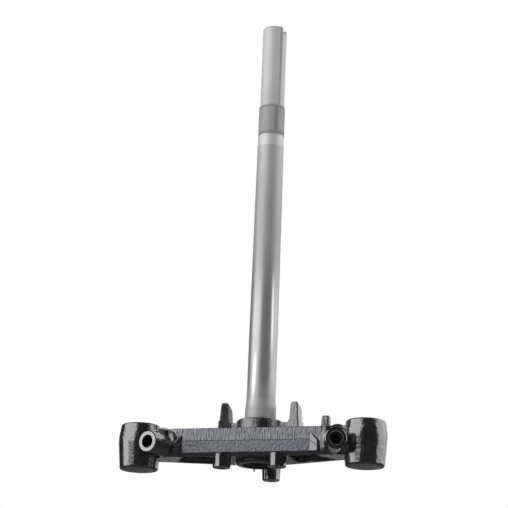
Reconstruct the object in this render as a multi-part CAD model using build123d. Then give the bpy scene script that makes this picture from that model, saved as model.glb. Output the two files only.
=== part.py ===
from build123d import *
import os
from math import cos, radians, sin, tan

# Lower yoke of a motorcycle fork with its steering stem. All sizes are in millimetres.
# The origin is on the stem axis, at the shoulder that the lower steering bearing rests on.
# +Z runs up the stem, +X from fork leg to fork leg, and -Y points to the front of the machine.

# Steering stem, from the bottom up
press_diameter = 31.0
foot_recess = 1.5
foot_chamfer = 0.8
stem_bore = 17.0
seat_diameter = 30.0
seat_length = 12.0
seat_taper_length = 8.0
shank_diameter = 28.0
shank_straight_length = 72.0
shank_top_diameter = 26.2
band_start = 278.0
band_diameter = 25.8
band_length = 10.5
thread_root_diameter = 24.9
thread_length = 31.5
thread_chamfer = 0.3
head_diameter = 24.0
head_length = 84.0
stem_end_chamfer = 1.2
notch_width = 12.0
notch_depth = 7.0

# Fork clamps
fork_spacing = 223.0
fork_offset = 27.0
fork_bore = 30.0
clamp_top = -6.8
clamp_bottom = -50.5
clamp_radius = 20.9
clamp_parting_height = -21.0
clamp_lower_draft = 4.5
clamp_upper_draft = 9.5
clamp_parting_blend = 40.0
clamp_top_round = 2.6
clamp_bottom_round = 2.0

# Pinch joint of each clamp: the bolt runs from the front ear into the lug behind the slot
bolt_angle = 18.0
bolt_distance = 28.9
bolt_height = -29.0
ear_radius = 10.3
ear_length = 25.9
ear_edge = 0.8
ear_web_length = 12.0
ear_web_height = 17.0
ear_web_round = 5.0
lug_length = 16.0
lug_rise = 8.0
lug_shift = 3.0
slot_width = 2.4
bolt_hole = 8.6
bolt_counterbore = 12.6
bolt_counterbore_depth = 9.0
bolt_tap_drill = 6.8
bolt_tap_depth = 18.0

# Bar between the clamps
bar_front = 38.0
bar_top = -12.7
bar_bottom = -39.5
parting_height = -25.4
bar_draft = 3.0
bar_chamfer = 3.5
bar_round = 1.2
bar_clamp_radius = 14.0
bar_boss_radius = 24.5
pocket_inner = 38.0
pocket_outer_front = 62.0
pocket_outer_middle = 84.0
pocket_depth = 13.0
pocket_wall = 5.5
pocket_corner = 4.0
pocket_draft = 6.0

# Boss around the stem
boss_radius = 23.4
boss_bottom = -43.0
boss_draft = 2.5
boss_round = 2.5
collar_round = 1.7

# Steering stops on both sides of the boss, each a horn on a block that a web joins to the boss
stop_inner = 30.2
stop_outer = 39.6
stop_front = 6.0
stop_rear = 10.2
stop_height = 18.8
stop_slope = 6.0
stop_draft = 3.0
stop_round = 3.8
stop_nose_round = 1.5
stop_edge = 1.5
stop_border = 0.8
stop_web_top = -2.2

# Small peg on top of the right end of the bar
peg_x = 69.7
peg_y = -15.0
peg_width = 7.2
peg_top = 1.0
peg_draft = 4.0
peg_round = 1.5

# Threaded pads on the underside: two in front, and one on an arm behind the stem
pad_x = 27.5
pad_y = -29.5
pad_radius = 8.5
pad_bottom = -50.2
pad_top = -34.5
pad_shoulder = 3.0
pad_draft = 1.5
pad_tap_drill = 6.8
pad_tap_depth = 14.0
rear_pad_y = 43.0
rear_pad_radius = 8.6
rear_pad_draft = 3.0
arm_top = -17.0
arm_bottom = -34.0
hole_chamfer = 0.8

up = (0, 0, 1)
down = (0, 0, -1)


def fork_centre(side):
    return Vector(side * fork_spacing / 2, -fork_offset, 0)


def pinch_plane(side):
    """Plane of the slot at the pinch bolt: x points inboard, and the normal forward along the bolt."""
    angle = radians(bolt_angle)
    forward = Vector(side * sin(angle), -cos(angle), 0)
    inboard = Vector(-side * cos(angle), -sin(angle), 0)
    foot = fork_centre(side) + inboard * bolt_distance + Vector(0, 0, bolt_height)
    return Plane(origin=foot, x_dir=inboard, z_dir=forward)


def spread(length, draft):
    """How far a drafted side leans out over a length."""
    return length * tan(radians(draft))


def turned(points):
    """Solid of revolution about Z from points given as radius and height."""
    return revolve(Plane.XZ * make_face(Polyline(*points, close=True)), Axis.Z)


def blended(points, corner, radius):
    """Profile for a turned solid with one of its corners rounded."""
    profile = Plane.XZ * make_face(Polyline(*points, close=True))
    place = Plane.XZ.from_local_coords(Vector(*points[corner]))
    return fillet(profile.vertices().sort_by_distance(place)[0], radius)


def rims(solid):
    """Round edges of a turned solid, from the lowest to the highest."""
    return solid.edges().filter_by(GeomType.CIRCLE).sort_by(Axis.Z)


def clamp_outside(side):
    """One fork clamp before it is bored: widest at the parting line, which is ground to a soft swell."""
    bottom_radius = clamp_radius - spread(clamp_parting_height - clamp_bottom, clamp_lower_draft)
    top_radius = clamp_radius - spread(clamp_top - clamp_parting_height, clamp_upper_draft)
    profile = [
        (0, clamp_bottom),
        (bottom_radius, clamp_bottom),
        (clamp_radius, clamp_parting_height),
        (top_radius, clamp_top),
        (0, clamp_top),
    ]
    ring = revolve(blended(profile, 2, clamp_parting_blend), Axis.Z)
    ring = fillet(rims(ring)[0], clamp_bottom_round)
    ring = fillet(rims(ring)[-1], clamp_top_round)
    return Pos(fork_centre(side)) * ring


def bar_outline(inset=0):
    """Plan of the bar: the hull around the clamps and the stem boss, cut off at the front face."""
    rounds = Sketch() + Circle(bar_boss_radius - inset)
    for side in (-1, 1):
        rounds += Pos(fork_centre(side)) * Circle(bar_clamp_radius - inset)
    behind_face = Rectangle(2 * fork_spacing, fork_spacing, align=(Align.CENTER, Align.MIN))
    return make_hull(rounds.edges()) & Pos(0, inset - bar_front) * behind_face


def bar():
    """Bar with rounded edges; its front face leans back above and below the parting line."""
    body = extrude(Pos(0, 0, bar_bottom) * bar_outline(), bar_top - bar_bottom, dir=up)
    chamfer_height = bar_bottom + bar_chamfer
    chamfer_front = bar_front - spread(parting_height - chamfer_height, bar_draft)
    for front, height, lean in (
        (bar_front, parting_height, bar_draft),
        (bar_front, parting_height, -bar_draft),
        (chamfer_front, chamfer_height, -45),
    ):
        facing = (0, -cos(radians(lean)), sin(radians(lean)))
        face = Plane(origin=(0, -front, height), x_dir=(1, 0, 0), z_dir=facing)
        body = split(body, bisect_by=face, keep=Keep.BOTTOM)
    body = fillet(body.faces().sort_by(Axis.Z)[-1].edges(), bar_round)
    bottom_edges = body.faces().sort_by(Axis.Z)[0].edges().sort_by(Axis.Y)
    return fillet(bottom_edges[1:], bar_round)


def pocket_outline():
    """Plan of the right pocket: it follows the edges of the bar, and its outer end is slanted."""
    outer_rear = 2 * pocket_outer_middle - pocket_outer_front
    band = make_face(
        Polyline(
            (pocket_inner, -bar_front),
            (pocket_outer_front, -bar_front),
            (outer_rear, bar_front),
            (pocket_inner, bar_front),
            close=True,
        )
    )
    return fillet((bar_outline(pocket_wall) & band).vertices(), pocket_corner)


def pocket(side):
    """Recess with drafted walls that lightens the underside of one arm of the bar."""
    mouth = pocket_outline()
    floor = offset(mouth, -spread(pocket_depth, pocket_draft))
    recess = loft([Pos(0, 0, bar_bottom) * mouth, Pos(0, 0, bar_bottom + pocket_depth) * floor])
    return recess if side > 0 else mirror(recess, about=Plane.YZ)


def stem_boss():
    """Boss that holds the stem, from its flat bottom up to the bearing shoulder."""
    bottom_radius = boss_radius - spread(parting_height - boss_bottom, boss_draft)
    top_radius = boss_radius - spread(-parting_height, boss_draft)
    boss = turned(
        [
            (0, boss_bottom),
            (bottom_radius, boss_bottom),
            (boss_radius, parting_height),
            (top_radius, 0),
            (0, 0),
        ]
    )
    boss = fillet(rims(boss)[-1], collar_round)
    return fillet(rims(boss)[0], boss_round)


def rounded_profile(plane, points, rounds):
    """Closed profile on a plane, with its second and third corners rounded."""
    profile = plane * make_face(Polyline(*points, close=True))
    for point, radius in zip(points[1:3], rounds):
        corner = plane.from_local_coords(Vector(*point))
        profile = fillet(profile.vertices().sort_by_distance(corner)[0], radius)
    return profile


def stop_block(low, high, top):
    """Drafted block on the bar, between two distances from the stem axis."""
    width = high - low
    depth = stop_rear + stop_front + 2 * stop_border
    plan = Pos((low + high) / 2, (stop_rear - stop_front) / 2, top) * RectangleRounded(width, depth, stop_edge)
    return extrude(plan, top - parting_height, dir=down, taper=-stop_draft)


def stop(side):
    """Steering stop: a horn with a sloping top, on its block and the web to the boss."""
    depth = stop_rear + stop_front
    lean = spread(stop_height, stop_draft)
    low = stop_height - stop_slope
    seen_from_front = rounded_profile(
        Plane.XZ,
        [(stop_inner, 0), (stop_inner + lean, stop_height), (stop_outer - lean, stop_height), (stop_outer, 0)],
        (stop_round, stop_round),
    )
    seen_from_side = rounded_profile(
        Plane.YZ,
        [(-stop_front, 0), (lean - stop_front, stop_height), (stop_rear - lean, low), (stop_rear, 0)],
        (stop_nose_round, stop_round),
    )
    horn = extrude(seen_from_front, 2 * depth, both=True) & extrude(seen_from_side, stop_outer, dir=(1, 0, 0))
    upright = horn.edges().filter_by(lambda edge: edge.length > low / 2 and abs(edge.tangent_at(0.5).Z) > 0.9)
    horn = fillet(upright, stop_edge)
    block = stop_block(stop_inner - stop_border, stop_outer + stop_border, 0)
    web = stop_block(0, stop_outer, stop_web_top)
    whole = horn + block + web
    return whole if side > 0 else mirror(whole, about=Plane.YZ)


def peg():
    post = Pos(peg_x, peg_y, peg_top) * extrude(
        RectangleRounded(peg_width, peg_width, peg_round),
        peg_top - parting_height,
        dir=down,
        taper=-peg_draft,
    )
    return fillet(post.faces().sort_by(Axis.Z)[-1].edges(), peg_round)


def post(radius, draft, top):
    """Round pad that hangs from the bar, a little wider at its top."""
    height = top - pad_bottom
    body = turned(
        [
            (0, pad_bottom),
            (radius, pad_bottom),
            (radius + spread(height, draft), top),
            (0, top),
        ]
    )
    return chamfer(rims(body)[0], hole_chamfer)


def front_pads():
    pads = Part()
    for side in (-1, 1):
        pad = post(pad_radius, pad_draft, pad_top)
        pads += Pos(side * pad_x, pad_y) * chamfer(rims(pad)[-1], pad_shoulder)
    return pads


def rear_pad():
    """Pad behind the stem with the arm that carries it."""
    arm_radius = rear_pad_radius + spread(arm_top - pad_bottom, rear_pad_draft)
    arm = Pos(0, 0, arm_bottom) * Rectangle(2 * arm_radius, rear_pad_y, align=(Align.CENTER, Align.MIN))
    arm = extrude(arm, arm_top - arm_bottom, dir=up)
    return arm + Pos(0, rear_pad_y) * post(rear_pad_radius, rear_pad_draft, arm_top)


def pinch_lugs(side):
    """Front ear with its web to the clamp, and the taller lug behind the slot, before slotting."""
    plane = pinch_plane(side)
    ear = plane * Cylinder(ear_radius, ear_length, align=(Align.CENTER, Align.CENTER, Align.MIN))
    ear = chamfer(ear.edges().sort_by(Axis(plane.origin, plane.z_dir))[-1], ear_edge)
    raised = Pos(-lug_shift, -side * lug_rise / 2)
    lug = plane * extrude(
        raised * Rot(0, 0, 90) * SlotCenterToCenter(lug_rise, 2 * ear_radius), -lug_length
    )
    web = Box(bolt_distance, ear_web_height, ear_web_length, align=(Align.MAX, Align.CENTER, Align.MIN))
    web = fillet(web.edges().filter_by(Axis.X).group_by(Axis.Z)[-1], ear_web_round)
    return ear + lug + plane * web


def slot(side):
    """Saw cut from the fork bore out past the pinch ear, through the whole height of the clamp."""
    length = bolt_distance + 2 * ear_radius
    height = 2 * (clamp_top - clamp_bottom)
    return pinch_plane(side) * Pos(ear_radius * 2, 0, 0) * Box(
        length, height, slot_width, align=(Align.MAX, Align.CENTER, Align.CENTER)
    )


def bolt_cut(side):
    """Counterbore, clearance hole and tapped hole of the pinch bolt."""
    plane = pinch_plane(side)
    low = (Align.CENTER, Align.CENTER, Align.MAX)
    high = (Align.CENTER, Align.CENTER, Align.MIN)
    head = plane * Pos(0, 0, ear_length) * Cylinder(bolt_counterbore / 2, bolt_counterbore_depth, align=low)
    clearance = plane * Cylinder(bolt_hole / 2, ear_length, align=high)
    tapped = plane * Cylinder(bolt_tap_drill / 2, bolt_tap_depth, align=low)
    return head + clearance + tapped


def fork_bore_cut(side):
    height = clamp_top - clamp_bottom
    bore = Cylinder(fork_bore / 2, height, align=(Align.CENTER, Align.CENTER, Align.MIN))
    return Pos(fork_centre(side)) * Pos(0, 0, clamp_bottom) * bore


def tapped_hole():
    """Threaded hole of a pad, with its countersunk mouth."""
    drill = pad_tap_drill / 2
    return turned(
        [
            (0, pad_bottom),
            (drill + hole_chamfer, pad_bottom),
            (drill, pad_bottom + hole_chamfer),
            (drill, pad_bottom + pad_tap_depth),
            (0, pad_bottom + pad_tap_depth + drill / 2),
        ]
    )


def lower_yoke():
    yoke = bar() + stem_boss() + front_pads() + rear_pad() + peg()
    for side in (-1, 1):
        yoke -= pocket(side)
    for side in (-1, 1):
        yoke += stop(side)
        yoke += clamp_outside(side) + pinch_lugs(side)
    for side in (-1, 1):
        yoke -= fork_bore_cut(side)
        yoke -= slot(side)
        yoke -= bolt_cut(side)
        yoke -= Pos(side * pad_x, pad_y) * tapped_hole()
    yoke -= Pos(0, rear_pad_y) * tapped_hole()
    press_bore = Cylinder(press_diameter / 2, -boss_bottom, align=(Align.CENTER, Align.CENTER, Align.MAX))
    return yoke - press_bore


def steering_stem():
    """Stem turned from tube: pressed foot, bearing seat, tapered shank, thread and plain head."""
    foot = boss_bottom + foot_recess
    band_end = band_start + band_length
    thread_end = band_end + thread_length
    top = thread_end + head_length
    stem = turned(
        [
            (stem_bore / 2, foot),
            (press_diameter / 2 - foot_chamfer, foot),
            (press_diameter / 2, foot + foot_chamfer),
            (press_diameter / 2, 0),
            (seat_diameter / 2, 0),
            (seat_diameter / 2, seat_length),
            (shank_diameter / 2, seat_length + seat_taper_length),
            (shank_diameter / 2, seat_length + seat_taper_length + shank_straight_length),
            (shank_top_diameter / 2, band_start),
            (band_diameter / 2, band_start),
            (band_diameter / 2, band_end),
            (thread_root_diameter / 2, band_end),
            (thread_root_diameter / 2, thread_end - thread_chamfer),
            (thread_root_diameter / 2 - thread_chamfer, thread_end),
            (head_diameter / 2, thread_end),
            (head_diameter / 2, top - stem_end_chamfer),
            (head_diameter / 2 - stem_end_chamfer, top),
            (stem_bore / 2, top),
        ]
    )
    notch = Pos(0, 0, top - notch_depth) * Box(
        head_diameter, notch_width, notch_depth, align=(Align.MIN, Align.CENTER, Align.MIN)
    )
    return stem - notch


def main():
    os.makedirs("parts", exist_ok=True)
    for name, piece in {"lower_yoke": lower_yoke(), "steering_stem": steering_stem()}.items():
        export_step(piece, f"parts/{name}.step")


main()
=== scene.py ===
from math import cos, pi, radians, sin, sqrt

import bpy
from mathutils import Matrix, Vector


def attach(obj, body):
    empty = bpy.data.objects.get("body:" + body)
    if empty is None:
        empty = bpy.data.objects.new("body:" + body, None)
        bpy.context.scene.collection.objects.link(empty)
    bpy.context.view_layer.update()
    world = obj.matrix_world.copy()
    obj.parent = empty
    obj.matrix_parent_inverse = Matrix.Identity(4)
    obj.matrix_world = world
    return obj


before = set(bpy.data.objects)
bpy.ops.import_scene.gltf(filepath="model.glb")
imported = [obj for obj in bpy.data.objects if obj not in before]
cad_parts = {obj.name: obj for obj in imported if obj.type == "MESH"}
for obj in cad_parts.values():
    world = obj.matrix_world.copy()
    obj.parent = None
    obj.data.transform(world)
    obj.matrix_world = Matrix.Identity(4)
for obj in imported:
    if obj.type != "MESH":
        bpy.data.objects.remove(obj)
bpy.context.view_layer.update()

MM = 0.001
DEGREES = 180 / pi

# Places and sizes on the part, in millimetres from the bearing's shoulder. Slopes are plain ratios.

# Fork clamps and their pinch ears
FORK_X = 111.5
FORK_Y = -27.0
FORK_BORE_RADIUS = 15.0
CLAMP_BOTTOM = -50.5
BOLT_ANGLE = radians(18)
BOLT_DISTANCE = 28.9
BOLT_HEIGHT = -29.0
COUNTERBORE_RADIUS = 6.3
EAR_LENGTH = 25.9
EAR_X = 84.0
EAR_ROOT_RADIUS = 16.5

# Bar, with its front face, and the steering stops on top
BAR_FRONT = -38.0
FRONT_DEPTH = 2.2
FRONT_FOOT = -36.5
FRONT_END = 72.0
PARTING_HEIGHT = -25.4
STOP_INNER = 27.0
STOP_OUTER = 45.0
STOP_FOOT = -9.0

# Gussets between the front face and the ears
GUSSET_START = 59.6
LEFT_GUSSET_SET_BACK = 4.6
GUSSET_CREST = 67.5
GUSSET_TOP = -17.8
GUSSET_FALL = 0.75
GUSSET_SLOPE = 0.45
GUSSET_TOP_SLOPE = 1.5
EAR_ROOT_SLOPE = 0.6
PARTING_HALF_WIDTH = 0.35

# Stem, from the bottom up
FOOT_TOP = -30.0
SEAT_TOP = 15.0
POLISH_START = 26.0
POLISH_END = 150.0
DULL_START = 130.0
DULL_END = 235.0
BAND_START = 277.5
THREAD_START = 288.5
THREAD_END = 320.0
THREAD_PITCH = 1.0
THREAD_RUN_OUT = 0.7
THREAD_TOOTH_WIDTH = 0.98
THREAD_OUTSIDE_RADIUS = 13.0
THREAD_ROOT_RADIUS = 12.45
THREAD_SUNK = 0.15
THREAD_STEPS = 56
TOOL_RING_PITCH = 2.3

# Drop of paint under the boss
DRIP_PLACE = (-9.4 * MM, 17.0 * MM, -43.0 * MM)
DRIP_RADIUS = 0.9 * MM
DRIP_TAPER = 0.3
DRIP_HANG = 3.6
DRIP_RISE = 1.5

# Colours of the paint, with the sheen and the shade painted on it
PAINT = (0.008, 0.008, 0.009, 1)
DUSTY_PAINT = (0.03, 0.03, 0.032, 1)
FRONT_PAINTED_SHEEN = (0.026, 0.033, 0.054, 1)
FOOT_PAINT = (0.009, 0.009, 0.01, 1)
PARTING_PAINTED_SHADE = (0.002, 0.002, 0.002, 1)

# Colours of the steel, with the highlight and the shade painted on it
CUT_STEEL = (0.28, 0.28, 0.28, 1)
CUT_STEEL_MARKS = (0.36, 0.36, 0.36, 1)
STEEL = (0.43, 0.424, 0.416, 1)
STAINED_STEEL = (0.345, 0.34, 0.333, 1)
BRIGHT_STEEL = (0.56, 0.553, 0.544, 1)
DULL_STEEL = (0.24, 0.235, 0.23, 1)
PAINTED_HIGHLIGHT_STEEL = (0.8, 0.79, 0.77, 1)
DARK_MARKS_AND_SHADE_STEEL = (0.17, 0.17, 0.17, 1)

# Colours of the studio
WHITE = (1, 1, 1, 1)
PALE_GREY = (0.86, 0.86, 0.86, 1)
GREY_CLOTH = (0.075, 0.075, 0.08, 1)
BLACK_CLOTH = (0.03, 0.03, 0.032, 1)
LAMP_COLOUR = (0.965, 0.975, 1.0)

# Studio, in metres
FLOOR_SIZE = 14.0
FLOOR_HEIGHT = -0.46
CLOTH_BOTTOM = -0.45
CLOTH_TOP = 3.95
CLOTH_RADIUS = 3.6
CLOTH_SIDES = 48
CURTAIN_END = 2.6
LAMP_AIM = Vector((0, 0, 0.08))


# Shader maths


class Value:
    """A shader socket that can be used in sums."""

    def __init__(self, tree, socket):
        self.tree = tree
        self.socket = socket

    def maths(self, operation, *others, clamp=False):
        """Adds a Math node that works on this value and the others, in their order."""
        settings = {"operation": operation, "use_clamp": clamp}
        return add_node(self.tree, "Math", settings, dict(enumerate((self, *others))))

    def __add__(self, other):
        return self.maths("ADD", other)

    __radd__ = __add__

    def __mul__(self, other):
        return self.maths("MULTIPLY", other)

    __rmul__ = __mul__

    def __sub__(self, other):
        return self.maths("SUBTRACT", other)

    def __rsub__(self, other):
        return (self * -1) + other

    def __truediv__(self, other):
        return self.maths("DIVIDE", other)

    def __abs__(self):
        return self.maths("ABSOLUTE")

    def __pow__(self, other):
        return self.maths("POWER", other)

    def above(self, edge, soft):
        """0 below the edge and 1 above it, over a soft width."""
        return ((self - edge) / soft + 0.5).maths("ADD", 0, clamp=True)

    def below(self, edge, soft):
        """1 below the edge and 0 above it, over a soft width."""
        return 1 - self.above(edge, soft)

    def most(self, other):
        return self.maths("MAXIMUM", other)

    def least(self, other):
        return self.maths("MINIMUM", other)


def distance(across, up):
    """Distance from the point where both values are 0."""
    return (across ** 2 + up ** 2) ** 0.5


def feed(tree, socket, value):
    """Gives a socket a link or a plain value."""
    if isinstance(value, Value):
        tree.links.new(value.socket, socket)
    else:
        socket.default_value = value


def add_node(tree, kind, settings=None, sockets=None, output=0):
    """Adds a node with its settings, feeds its sockets, and gives one of its outputs."""
    made = tree.nodes.new("ShaderNode" + kind)
    for name, value in (settings or {}).items():
        setattr(made, name, value)
    for name, value in (sockets or {}).items():
        feed(tree, made.inputs[name], value)
    return Value(tree, made.outputs[output])


class Finish:
    """A material with one main shader, and the nodes that feed it."""

    def __init__(self, name):
        self.material = bpy.data.materials.new(name)
        self.material.use_nodes = True
        self.tree = self.material.node_tree
        self.shader = self.tree.nodes["Principled BSDF"]

    def node(self, kind, settings=None, sockets=None, output=0):
        return add_node(self.tree, kind, settings, sockets, output)

    def place(self):
        """Place on the part in metres, as one vector."""
        return self.node("TexCoord", output="Object")

    def axes(self):
        """Place on the part in millimetres, as three values."""
        place = {"Vector": self.place()}
        return [self.node("SeparateXYZ", sockets=place, output=axis) / MM for axis in "XYZ"]

    def noise(self, scale, detail, stretch=(1, 1, 1), rough=0.5):
        """Noise from 0 to 1, with its scale in grains to the metre."""
        place = self.node("Mapping", sockets={"Vector": self.place(), "Scale": stretch})
        sockets = {"Vector": place, "Scale": scale, "Detail": detail, "Roughness": rough}
        return self.node("TexNoise", sockets=sockets)

    def mix(self, factor, low, high):
        """Blend of two colours. The colour sockets of this node come after those of its other types."""
        return self.node("Mix", {"data_type": "RGBA"}, {0: factor, 6: low, 7: high}, output=2)

    def bump(self, height, deep, strength=1.0):
        """Relief in which a height of 1 is as deep as given, in metres."""
        return self.node("Bump", sockets={"Height": height, "Distance": deep, "Strength": strength})

    def set(self, **sockets):
        """Feeds the main shader's sockets by their names, with _ for a space."""
        for name, value in sockets.items():
            feed(self.tree, self.shader.inputs[name.replace("_", " ")], value)


# Finishes


def bare_faces(x, y, z):
    """Where the yoke shows machined steel instead of paint."""
    # Places along and across the axis of the nearer pinch bolt, from where it passes the fork bore
    bolt_x = FORK_X - BOLT_DISTANCE * cos(BOLT_ANGLE)
    bolt_y = FORK_Y - BOLT_DISTANCE * sin(BOLT_ANGLE)
    along = (abs(x) - bolt_x) * sin(BOLT_ANGLE) - (y - bolt_y) * cos(BOLT_ANGLE)
    across = (abs(x) - bolt_x) * cos(BOLT_ANGLE) + (y - bolt_y) * sin(BOLT_ANGLE)
    from_bolt = distance(across, z - BOLT_HEIGHT)
    # The left ear's face was machined after painting, and the right one shows steel at its mouth alone
    left_face = along.above(EAR_LENGTH - 0.12, 0.1) * x.below(0, 1)
    mouth = along.above(EAR_LENGTH - 0.9, 0.1) * from_bolt.below(COUNTERBORE_RADIUS + 0.3, 0.2)
    right_mouth = mouth * x.above(0, 1) * 0.8
    # The bores of the fork clamps were machined after painting too
    from_fork = distance(abs(x) - FORK_X, y - FORK_Y)
    bores = from_fork.below(FORK_BORE_RADIUS + 0.05, 0.05)
    return (left_face + right_mouth).most(bores)


def bar_end_forms(x, y, z):
    """Height of the gussets beside the ears, in millimetres, and the line where the dies met."""
    past_start = (abs(x) - GUSSET_START - x.below(0, 1) * LEFT_GUSSET_SET_BACK).most(0)
    drop = past_start * GUSSET_FALL
    under_top = GUSSET_TOP - drop - z
    ear_root = (EAR_ROOT_RADIUS - distance(abs(x) - EAR_X, z - BOLT_HEIGHT)) * EAR_ROOT_SLOPE
    # The right one also rolls off into the ear
    roll_off = (x - GUSSET_CREST).most(0)
    gusset = (past_start * GUSSET_SLOPE - roll_off).least(under_top * GUSSET_TOP_SLOPE)
    gusset = gusset.most(ear_root).most(0)
    on_face = y.above(BAR_FRONT - 0.5, 0.2) * y.below(BAR_FRONT + FRONT_DEPTH, 0.5)
    gusset = gusset * on_face * z.above(FRONT_FOOT, 1)
    parting = abs(z - PARTING_HEIGHT + drop).below(PARTING_HALF_WIDTH, PARTING_HALF_WIDTH)
    return gusset, parting


def black_paint():
    """Gloss black paint on a drop forging, with the machined faces left bare."""
    finish = Finish("black_paint")
    x, y, z = finish.axes()
    noise = finish.noise

    bare = bare_faces(x, y, z)
    # Machined undersides, dull under thin paint
    undersides = z.below(CLAMP_BOTTOM + 0.3, 0.2)
    # Below the bar the paint ran smooth
    below = z.below(FRONT_FOOT, 1) * abs(x).below(FRONT_END, 8)
    # The middle of the forging kept its scale, and the clamps came out smooth
    rough = abs(x).below(FRONT_END, 10) * z.above(FRONT_FOOT - 4.5, 2)
    front = y.below(BAR_FRONT + FRONT_DEPTH, 0.5) * abs(x).below(FRONT_END, 2) * z.above(FRONT_FOOT, 0.5)
    above_parting = front * z.above(PARTING_HEIGHT, 1)
    left_stop = x.below(-STOP_INNER, 1) * x.above(-STOP_OUTER, 1) * z.above(STOP_FOOT, 2)
    right_stop = x.above(STOP_INNER, 1) * x.below(STOP_OUTER, 1) * z.above(STOP_FOOT, 2)
    # The parting line bends down to the ears over a gusset that stands out from the bar
    gusset, parting = bar_end_forms(x, y, z)
    parting = parting * front
    # Where the paint is thickest, a second, smoother gloss lies over its grain
    smooth = gusset.above(0.2, 0.3)
    gloss = ((1 - rough) * 0.4).most(right_stop).most(smooth * x.above(0, 1) * 0.15)

    dust = (noise(scale=60, detail=5, rough=0.7) - 0.5).above(0.1, 0.2) * (1 - below)
    black = finish.mix(dust * 0.35, PAINT, DUSTY_PAINT)
    # Painted sheen: the bar's front face, but not its gussets, gets a lighter, bluish colour
    black = finish.mix(front * (1 - smooth) * 0.8, black, FRONT_PAINTED_SHEEN)
    # Painted shade: a near-black line along the crease where the dies met
    black = finish.mix(parting, black, PARTING_PAINTED_SHADE)
    cut_marks = noise(scale=700, detail=2, stretch=(1, 1, 0.2))
    steel = finish.mix(cut_marks, CUT_STEEL, CUT_STEEL_MARKS)
    cloudy = noise(scale=120, detail=2)
    roughness = (0.15 + 0.07 * cloudy + rough * 0.09) * (1 - below * 0.5)
    finish.set(
        Base_Color=finish.mix(bare, black, steel),
        Metallic=bare * 0.75,
        Roughness=roughness + undersides * 0.2 + left_stop * 0.2 + bare * 0.25,
        Specular_IOR_Level=1.0,
        IOR=1.8,
        Coat_Weight=gloss * (1 - bare) * (1 - undersides * 0.6),
        Coat_Roughness=0.12,
        Coat_IOR=1.45,
    )

    dents = noise(scale=480, detail=3, rough=0.65)
    streaks = noise(scale=850, detail=2, stretch=(1, 1, 0.12))
    peel = noise(scale=240, detail=3)
    grain = dents * (rough * 0.36 + front * 0.49 - above_parting * 0.7) + above_parting * streaks * 1.1
    grain = grain * (1 - smooth)
    grain = (grain + peel * (0.42 - front * 0.3 - right_stop * 0.2)) * (1 - below * 0.85)
    # The left stop's front is dented and leans a little to the right
    grain = grain + left_stop * dents * 0.7 - left_stop * x * 0.5
    finish.set(Normal=finish.bump(gusset + grain - parting * 0.25, MM))
    return finish.material


def strip(turn, middle, half_width, soft):
    """Narrow strip along the stem; its place and widths are degrees round the stem."""
    return abs(turn - middle).below(half_width, soft)


def turned_steel():
    """Bare steel turned on a lathe, with fine tool marks round the stem."""
    finish = Finish("turned_steel")
    x, y, z = finish.axes()
    noise = finish.noise
    # Degrees round the stem, 0 at the front and more to the right
    turn = x.maths("ARCTAN2", y * -1) * DEGREES

    # Lengths of the stem, from the bottom up. The pressed foot was painted with the yoke.
    foot = z.below(FOOT_TOP, 0.2)
    seat = z.below(SEAT_TOP, 4)
    polished = z.above(POLISH_START, 28) * z.below(POLISH_END, 60)
    dull = z.above(DULL_START, 50) * z.below(DULL_END, 60)
    ground = z.above(BAND_START, 0.4) * z.below(THREAD_START, 0.4)
    thread = z.above(THREAD_START, 0.4) * z.below(THREAD_END, 0.4)
    thread_ends = z.above(THREAD_END - 2.5, 1) + z.below(THREAD_START + 4, 2)
    head = z.above(THREAD_END, 1)
    head_foot = head * z.below(THREAD_END + 14, 16)

    # Long bands of painted highlight on the lower shank, one on each side, which are also smoother and
    # more metallic
    right_highlight = strip(turn, middle=52 - (z - 95) * 0.05, half_width=5, soft=5)
    left_highlight = strip(turn, middle=(z - 50) * 0.12 - 15, half_width=6, soft=5)
    right_highlight = right_highlight * z.above(72, 30) * z.below(138, 20)
    left_highlight = left_highlight * z.above(22, 24) * z.below(60, 20)
    highlight_strips = right_highlight.most(left_highlight)
    # Dark bands of painted shade along the head and the thread
    painted_shade_strips = strip(turn, middle=51, half_width=6, soft=9) * head * 0.7
    painted_shade_strips = painted_shade_strips + strip(turn, middle=37, half_width=8, soft=14) * thread * 0.5
    # Rings left by the tool at the bearing seat, on the thread and just above it; the thread is also
    # darker over a short length at each end
    rings = (z * (2 * pi / TOOL_RING_PITCH)).maths("SINE").above(0.2, 1.2)
    ringed = rings * (seat * 0.15 + head_foot * 0.3 + thread * 0.15) + thread * thread_ends * 0.35

    clouds = noise(scale=30, detail=4, stretch=(1, 1, 0.25), rough=0.6)
    bands = noise(scale=45, detail=3, stretch=(0.1, 0.1, 1))
    stain = (clouds * 0.7 + bands * 0.3).above(0.52, 0.25)
    colour = finish.mix(stain, STEEL, STAINED_STEEL)
    bright = ground * 0.7 + thread * 0.6 + head * 0.6
    colour = finish.mix(bright, colour, BRIGHT_STEEL)
    colour = finish.mix(dull * 0.5, colour, DULL_STEEL)
    # Painted highlight in the bands on the lower shank
    colour = finish.mix(highlight_strips * 0.8, colour, PAINTED_HIGHLIGHT_STEEL)
    # Tool rings and the thread's darker ends, and the bands of painted shade on the head and the thread
    colour = finish.mix(ringed.most(painted_shade_strips), colour, DARK_MARKS_AND_SHADE_STEEL)
    marks = noise(scale=900, detail=2, stretch=(0.04, 0.04, 1))
    finish.set(
        Base_Color=finish.mix(foot, colour, FOOT_PAINT),
        Metallic=(0.45 + polished * 0.27 + highlight_strips * 0.1) * (1 - foot),
        Roughness=0.44 + 0.12 * clouds + 0.05 * marks + head * 0.12 - polished * 0.16 - highlight_strips * 0.1,
        Normal=finish.bump(marks, 0.03 * MM, 0.5),
    )
    return finish.material


# Pieces of the part


def deselect():
    """Keeps the next operator to the piece that it makes."""
    bpy.ops.object.select_all(action="DESELECT")


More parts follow.
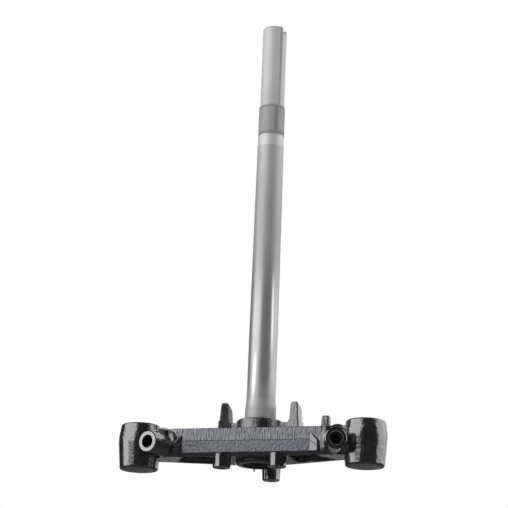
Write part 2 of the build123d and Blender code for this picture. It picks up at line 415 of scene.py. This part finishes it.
def edit_corners(chosen):
    """Opens the piece just made in edit mode, with only the chosen corners selected."""
    bpy.ops.object.mode_set(mode="EDIT")
    bpy.ops.mesh.select_all(action="DESELECT")
    bpy.ops.object.mode_set(mode="OBJECT")
    for corner in bpy.context.object.data.vertices:
        corner.select = chosen(corner.co)
    bpy.ops.object.mode_set(mode="EDIT")


def stretch_corners(chosen, size, centre):
    """Stretches the chosen corners of the piece just made about a centre."""
    edit_corners(chosen)
    bpy.ops.transform.resize(value=size, center_override=centre)
    bpy.ops.object.mode_set(mode="OBJECT")


def finish_cad_node(node, material):
    """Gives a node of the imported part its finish."""
    for slot in bpy.data.objects[node].material_slots:
        slot.material = material


def settle(name, material):
    """Names the piece just made, gives it its finish, and ties it to the part."""
    piece = bpy.context.object
    piece.name = name
    piece.data.materials.append(material)
    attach(piece, "root")


def stem_thread(material):
    """The real turns of the stem's thread, over its root cylinder."""
    deselect()
    turns = int((THREAD_END - THREAD_START - 2 * THREAD_RUN_OUT) / THREAD_PITCH)
    # The section of a tooth is a circle with three corners, one of them pointing outwards. Such a
    # circle is 1.5 radii deep, and sqrt(3) radii wide at its base.
    radius_out = (THREAD_OUTSIDE_RADIUS - THREAD_ROOT_RADIUS + THREAD_SUNK) / 1.5
    radius_up = THREAD_TOOTH_WIDTH / sqrt(3)
    middle = ((THREAD_OUTSIDE_RADIUS - radius_out) * MM, 0, (THREAD_START + THREAD_RUN_OUT) * MM)
    facing = (radians(90), radians(90), 0)
    bpy.ops.mesh.primitive_circle_add(vertices=3, radius=MM, location=middle, rotation=facing)
    bpy.ops.object.transform_apply(location=True, rotation=True, scale=True)
    stretch_corners(lambda corner: True, (radius_out, 1, radius_up), middle)
    piece = bpy.context.object
    screw = piece.modifiers.new("screw", "SCREW")
    screw.axis = "Z"
    screw.screw_offset = THREAD_PITCH * MM
    screw.iterations = turns
    screw.steps = THREAD_STEPS
    screw.render_steps = THREAD_STEPS
    screw.use_smooth_shade = False
    bpy.ops.object.modifier_apply(modifier=screw.name)
    edit_corners(lambda corner: True)
    bpy.ops.mesh.fill_holes(sides=3)
    bpy.ops.mesh.normals_make_consistent(inside=False)
    bpy.ops.object.mode_set(mode="OBJECT")
    bpy.ops.object.shade_smooth_by_angle(angle=radians(30))
    settle("stem_thread", material)


def paint_drip(material):
    """The drop of paint that dried on the lower rim of the stem's boss."""
    deselect()
    rings = 12
    bpy.ops.mesh.primitive_uv_sphere_add(
        segments=16, ring_count=rings, radius=DRIP_RADIUS, location=DRIP_PLACE
    )
    bpy.ops.object.transform_apply(location=True, rotation=True, scale=True)
    middle = DRIP_PLACE[2]
    # Corners whose heights differ by less than this are on one ring
    near = DRIP_RADIUS * 0.01
    # Each ring of corners below the middle is drawn in, the lowest one most
    for ring in range(rings // 2 + 1, rings):
        height = DRIP_RADIUS * cos(pi * ring / rings)
        narrow = 1 + height / DRIP_RADIUS * DRIP_TAPER
        stretch_corners(
            lambda corner: abs(corner.z - middle - height) < near, (narrow, narrow, 1), DRIP_PLACE
        )
    stretch_corners(lambda corner: corner.z < middle - near, (1, 1, DRIP_HANG), DRIP_PLACE)
    stretch_corners(lambda corner: corner.z > middle + near, (1, 1, DRIP_RISE), DRIP_PLACE)
    bpy.ops.object.shade_smooth()
    settle("paint_drip", material)


# Studio


def direction(azimuth, elevation):
    """Unit vector from the part; azimuth 0 is the front, and it grows to the right."""
    turn = radians(azimuth)
    climb = radians(elevation)
    return Vector((sin(turn) * cos(climb), -cos(turn) * cos(climb), sin(climb)))


def softbox(name, azimuth, elevation, away, width, height, brightness):
    """Area lamp that faces the part; its brightness is that of its surface, 1 for white."""
    deselect()
    place = LAMP_AIM + direction(azimuth, elevation) * away
    bpy.ops.object.light_add(type="AREA", location=place)
    lamp = bpy.context.object
    lamp.name = name
    lamp.rotation_euler = (LAMP_AIM - place).to_track_quat("-Z", "Y").to_euler()
    lamp.data.color = LAMP_COLOUR
    lamp.data.shape = "RECTANGLE"
    lamp.data.size = width
    lamp.data.size_y = height
    lamp.data.energy = brightness * width * height * pi
    lamp.visible_camera = False


def cloth_finish(name, colour):
    """Even cloth whose brightness doesn't hang on the lamps."""
    finish = Finish(name)
    finish.set(
        Base_Color=(0, 0, 0, 1),
        Specular_IOR_Level=0.0,
        Emission_Color=colour,
        Emission_Strength=1.0,
    )
    return finish.material


def hang_cloth(name, cloth):
    """Names the cloth just made, and lets only reflections see it."""
    sheet = bpy.context.object
    sheet.name = name
    sheet.data.materials.append(cloth)
    sheet.visible_camera = False
    sheet.visible_shadow = False
    sheet.visible_diffuse = False


def dark_surround():
    """Dark cloth behind the lamps and under the part, which its gloss reflects between the lamps."""
    black = cloth_finish("black_cloth", BLACK_CLOTH)
    grey = cloth_finish("grey_cloth", GREY_CLOTH)
    deselect()
    bpy.ops.mesh.primitive_cylinder_add(
        vertices=CLOTH_SIDES,
        radius=CLOTH_RADIUS,
        depth=CLOTH_TOP - CLOTH_BOTTOM,
        end_fill_type="NOTHING",
        location=(0, 0, (CLOTH_TOP + CLOTH_BOTTOM) / 2),
    )
    # It is open at the back, where the light room shows
    edit_corners(lambda corner: corner.y > CURTAIN_END)
    bpy.ops.mesh.delete(type="VERT")
    bpy.ops.object.mode_set(mode="OBJECT")
    hang_cloth("dark_curtain", black)
    for name, height, cloth in (("dark_ceiling", CLOTH_TOP, black), ("dark_sheet", CLOTH_BOTTOM, grey)):
        deselect()
        bpy.ops.mesh.primitive_circle_add(
            vertices=CLOTH_SIDES, radius=CLOTH_RADIUS, fill_type="NGON", location=(0, 0, height)
        )
        hang_cloth(name, cloth)


def floor():
    """Plain pale floor, on which the part's shadow falls."""
    deselect()
    bpy.ops.mesh.primitive_plane_add(size=FLOOR_SIZE, location=(0, 0, FLOOR_HEIGHT))
    ground = bpy.context.object
    ground.name = "floor"
    finish = Finish("pale_floor")
    finish.set(
        Base_Color=PALE_GREY,
        Roughness=0.9,
        Specular_IOR_Level=0.0,
        Emission_Color=WHITE,
        Emission_Strength=0.45,
    )
    ground.data.materials.append(finish.material)


def white_world():
    """White to the camera and in reflections, and a softer light on dull surfaces."""
    world = bpy.data.worlds.new("white_room")
    bpy.context.scene.world = world
    world.use_nodes = True
    tree = world.node_tree
    seen = add_node(tree, "LightPath", output="Is Camera Ray")
    seen = seen.most(add_node(tree, "LightPath", output="Is Glossy Ray"))
    seen = seen.most(add_node(tree, "LightPath", output="Is Transmission Ray"))
    back = tree.nodes["Background"]
    feed(tree, back.inputs["Color"], WHITE)
    feed(tree, back.inputs["Strength"], seen * 0.6 + 0.4)


def camera():
    """The photograph's own view: from the front, a little to the right and from below."""
    yaw = radians(17.483)
    rise = radians(15.791)
    roll = radians(2.301)
    away = 2.020
    aim_right = -12.375 * MM
    aim_up = 166.984 * MM
    back = Vector((sin(yaw) * cos(rise), -cos(yaw) * cos(rise), -sin(rise)))
    level_right = (-back).cross(Vector((0, 0, 1))).normalized()
    level_up = level_right.cross(-back)
    right = level_right * cos(roll) + level_up * sin(roll)
    up = level_up * cos(roll) - level_right * sin(roll)
    aim = level_right * aim_right + Vector((0, 0, aim_up))
    deselect()
    bpy.ops.object.camera_add()
    view = bpy.context.object
    turn = Matrix((right, up, back)).transposed().to_4x4()
    view.matrix_world = Matrix.Translation(aim + back * away) @ turn
    view.data.sensor_width = 36.0
    view.data.lens = 145.585
    view.data.clip_start = 0.05
    view.data.clip_end = 40
    bpy.context.scene.camera = view


# The whole scene

paint = black_paint()
steel = turned_steel()
finish_cad_node("lower_yoke", paint)
finish_cad_node("steering_stem", steel)
stem_thread(steel)
paint_drip(paint)
floor()
dark_surround()
white_world()
softbox("softbox_left", azimuth=-47, elevation=27, away=2.4, width=3.3, height=2.4, brightness=2.2)
softbox("softbox_right", azimuth=110, elevation=27, away=2.4, width=2.6, height=2.4, brightness=1.7)
softbox("strip_left", azimuth=-62, elevation=-5, away=2.35, width=1.5, height=0.45, brightness=2.2)
softbox("strip_right", azimuth=98, elevation=-5, away=2.35, width=1.5, height=0.45, brightness=0.9)
camera()
bpy.context.scene.view_settings.view_transform = "Standard"
